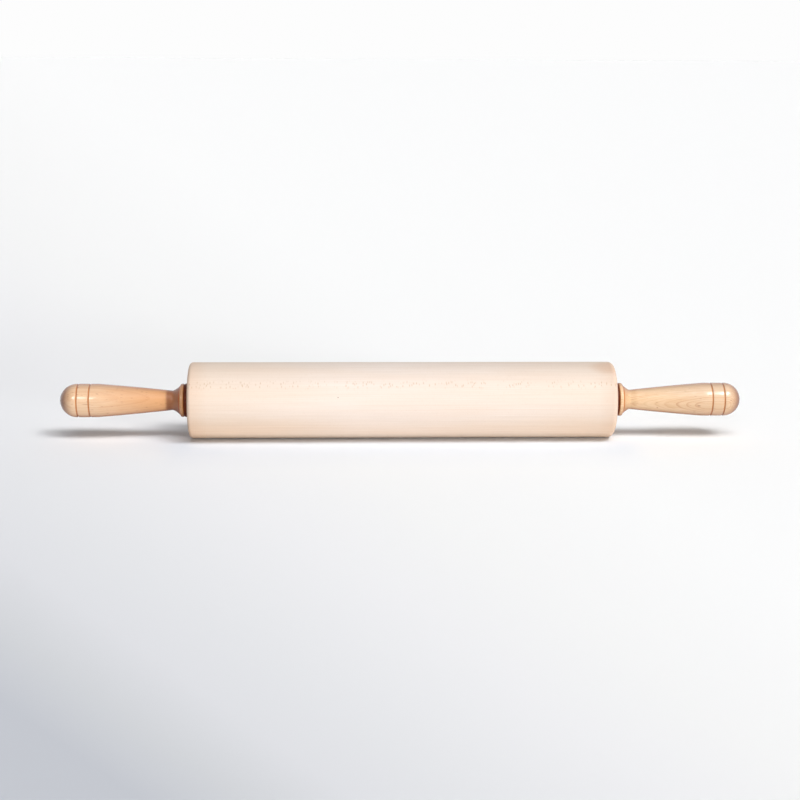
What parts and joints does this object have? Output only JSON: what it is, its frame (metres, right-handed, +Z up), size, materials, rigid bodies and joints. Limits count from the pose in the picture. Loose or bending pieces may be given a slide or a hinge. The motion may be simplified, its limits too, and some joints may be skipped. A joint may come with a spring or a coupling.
{
  "type": "rolling pin",
  "caption": "Turned wooden rolling pin with a straight barrel that spins on ball bearings round a steel rod, between tapered, grooved handles with domed tips and dark collars.",
  "frame": {"origin": "on the worktop, straight below the middle of the barrel, at the centre of the strip that the barrel rests on", "axes": "+X along the pin, from the left handle to the right one as the picture shows it; +Z up; the picture is taken from -Y"},
  "size_m": [0.6194, 0.0688, 0.0689],
  "materials": {
    "barrel_maple": "bare sanded pale maple, matt, with fine grain along the barrel",
    "handle_maple": "honey-coloured maple under clear gloss lacquer",
    "collar_plastic": "moulded dark red-brown plastic, satin to gloss",
    "rod_steel": "drawn steel bar with cut threads",
    "insert_brass": "machined brass",
    "race_steel": "ground bearing steel",
    "ball_steel": "polished bearing steel",
    "cage_steel": "formed steel, satin",
    "shield_steel": "pressed steel sheet, satin"
  },
  "bodies": {
    "handles": {"centre_rod": "rod_steel", "left_handle": "handle_maple", "left_threaded_insert": "insert_brass", "left_collar": "collar_plastic", "left_inner_race": "race_steel", "right_handle": "handle_maple", "right_threaded_insert": "insert_brass", "right_collar": "collar_plastic", "right_inner_race": "race_steel"},
    "barrel": {"barrel": "barrel_maple", "left_outer_race": "race_steel", "left_handle_side_shield": "shield_steel", "left_barrel_side_shield": "shield_steel", "right_outer_race": "race_steel", "right_handle_side_shield": "shield_steel", "right_barrel_side_shield": "shield_steel"},
    "left_cage": {"left_cage": "cage_steel", "left_ball_1": "ball_steel", "left_ball_2": "ball_steel", "left_ball_3": "ball_steel", "left_ball_4": "ball_steel", "left_ball_5": "ball_steel", "left_ball_6": "ball_steel", "left_ball_7": "ball_steel"},
    "right_cage": {"right_cage": "cage_steel", "right_ball_1": "ball_steel", "right_ball_2": "ball_steel", "right_ball_3": "ball_steel", "right_ball_4": "ball_steel", "right_ball_5": "ball_steel", "right_ball_6": "ball_steel", "right_ball_7": "ball_steel"}
  },
  "joints": [
    {"name": "barrel_spin", "type": "hinge", "parent": "handles", "child": "barrel", "pos_m": [0, 0, 0.03443], "axis": [1, 0, 0], "continuous": true},
    {"name": "left_cage_orbit", "type": "hinge", "parent": "handles", "child": "left_cage", "pos_m": [-0.18818, 0, 0.03443], "axis": [1, 0, 0], "continuous": true},
    {"name": "right_cage_orbit", "type": "hinge", "parent": "handles", "child": "right_cage", "pos_m": [0.18818, 0, 0.03443], "axis": [1, 0, 0], "continuous": true}
  ],
  "couplings": [
    {"joint": "left_cage_orbit", "follows": "barrel_spin", "ratio": 0.625},
    {"joint": "right_cage_orbit", "follows": "barrel_spin", "ratio": 0.625}
  ]
}
